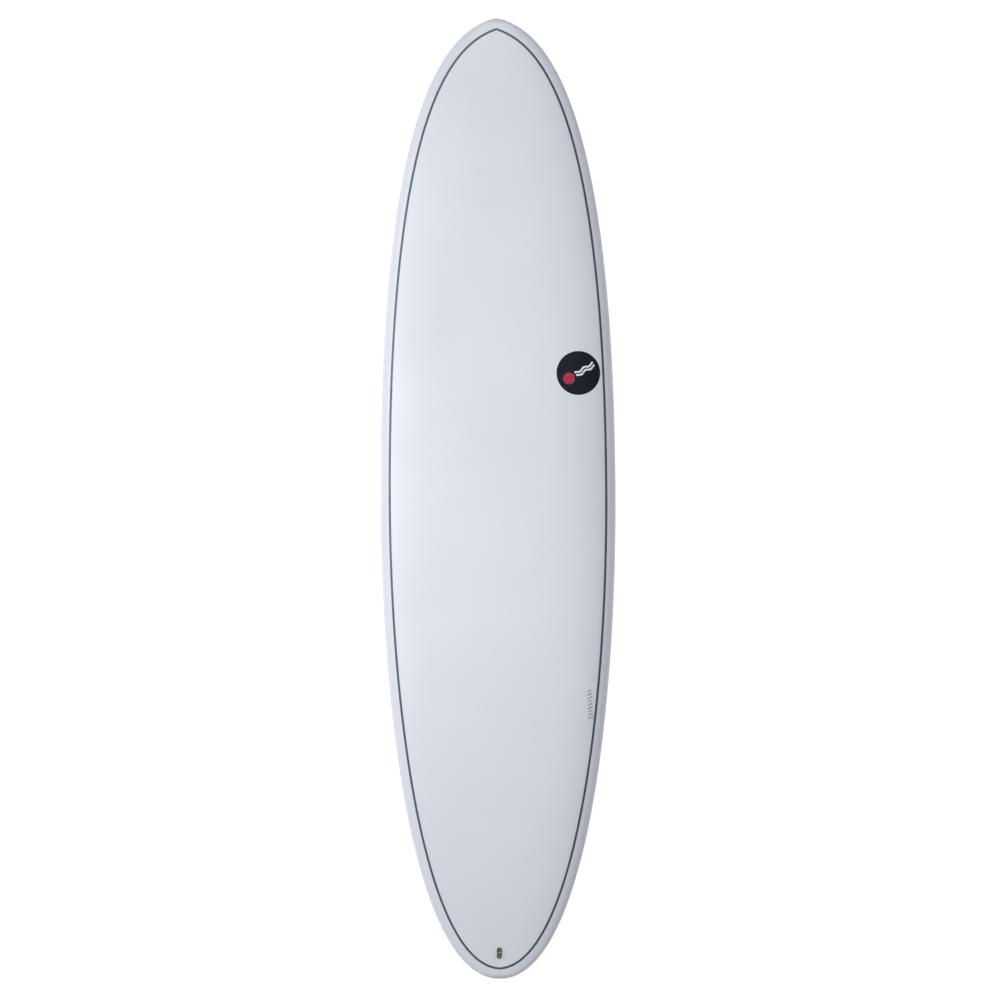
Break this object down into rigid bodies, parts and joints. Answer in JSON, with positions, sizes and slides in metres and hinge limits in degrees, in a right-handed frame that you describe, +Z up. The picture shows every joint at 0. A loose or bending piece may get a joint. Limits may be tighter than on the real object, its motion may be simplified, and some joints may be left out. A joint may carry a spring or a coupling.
{
  "type": "surfboard",
  "caption": "Mid-length surfboard with a round nose and tail, foam core with stringer and white epoxy skins, deck pinline, round badge, leash plug and removable side and centre fins in boxes.",
  "frame": {"origin": "centre of the board's box in X and Y, on the floor at Z=0, with the board standing deck up on the tips of its two side fins and the belly of its bottom", "axes": "+Y towards the nose, +X towards the right rail seen from above, +Z up through the deck"},
  "size_m": [0.5398, 2.182, 0.1821],
  "materials": {
    "deck_gloss": "white epoxy laminate, satin",
    "bottom_gloss": "white epoxy laminate, polished",
    "glass_patch": "clear epoxy and glass cloth",
    "foam": "white closed-cell bead foam",
    "dense_foam": "tan dense closed-cell foam",
    "stringer_wood": "planed light timber",
    "pinline_blue": "dark slate blue line under gloss",
    "badge_ink": "blue-black ink under gloss",
    "badge_coral": "coral red ink under gloss",
    "badge_pale": "white ink under gloss",
    "mark_grey": "grey ink under gloss",
    "plug_plastic": "off-white moulded nylon",
    "stainless": "stainless steel",
    "box_plastic": "off-white glass-filled nylon",
    "fin_black": "black glass-filled nylon, satin"
  },
  "bodies": {
    "board": {"deck_skin": "deck_gloss", "bottom_skin": "bottom_gloss", "deck_patch": "glass_patch", "fin_patch": "glass_patch", "foam_core_left": "foam", "foam_core_right": "foam", "stringer": "stringer_wood", "pinline": "pinline_blue", "badge_disc": "badge_ink", "badge_sun": "badge_coral", "badge_waves": "badge_pale", "rail_marks": "mark_grey", "leash_plug_cup": "plug_plastic", "leash_plug_pin": "stainless", "leash_plug_insert": "dense_foam", "fin_box_left": "box_plastic", "fin_insert_left": "dense_foam", "fin_box_right": "box_plastic", "fin_insert_right": "dense_foam", "fin_box_centre": "box_plastic", "fin_insert_centre": "dense_foam"},
    "left_fin": {"fin_left": "fin_black"},
    "left_front_screw": {"grub_screw_left_front": "stainless"},
    "left_rear_screw": {"grub_screw_left_rear": "stainless"},
    "right_fin": {"fin_right": "fin_black"},
    "right_front_screw": {"grub_screw_right_front": "stainless"},
    "right_rear_screw": {"grub_screw_right_rear": "stainless"},
    "centre_fin": {"fin_centre": "fin_black"},
    "centre_front_screw": {"grub_screw_centre_front": "stainless"},
    "centre_rear_screw": {"grub_screw_centre_rear": "stainless"}
  },
  "joints": [
    {"name": "left_fin_slide", "type": "slide", "parent": "board", "child": "left_fin", "axis": [0, -0.1538, -0.9881], "range_m": [0, 0.03]},
    {"name": "left_front_screw_turn", "type": "hinge", "parent": "board", "child": "left_front_screw", "pos_m": [-0.14957, -0.70692, 0.10672], "axis": [0.4993, -0.159, -0.8517], "range_deg": [0, 1080]},
    {"name": "left_rear_screw_turn", "type": "hinge", "parent": "board", "child": "left_rear_screw", "pos_m": [-0.15302, -0.77205, 0.11685], "axis": [0.4993, -0.159, -0.8517], "range_deg": [0, 1080]},
    {"name": "right_fin_slide", "type": "slide", "parent": "board", "child": "right_fin", "axis": [0, -0.1538, -0.9881], "range_m": [0, 0.03]},
    {"name": "right_front_screw_turn", "type": "hinge", "parent": "board", "child": "right_front_screw", "pos_m": [0.14957, -0.70692, 0.10672], "axis": [-0.4993, -0.159, -0.8517], "range_deg": [0, 1080]},
    {"name": "right_rear_screw_turn", "type": "hinge", "parent": "board", "child": "right_rear_screw", "pos_m": [0.15302, -0.77205, 0.11685], "axis": [-0.4993, -0.159, -0.8517], "range_deg": [0, 1080]},
    {"name": "centre_fin_slide", "type": "slide", "parent": "board", "child": "centre_fin", "axis": [0, -0.1814, -0.9834], "range_m": [0, 0.03]},
    {"name": "centre_front_screw_turn", "type": "hinge", "parent": "board", "child": "centre_front_screw", "pos_m": [0.00533, -0.90729, 0.13982], "axis": [0.5, -0.1571, -0.8517], "range_deg": [0, 1080]},
    {"name": "centre_rear_screw_turn", "type": "hinge", "parent": "board", "child": "centre_rear_screw", "pos_m": [0.00533, -0.9722, 0.15179], "axis": [0.5, -0.1571, -0.8517], "range_deg": [0, 1080]}
  ]
}
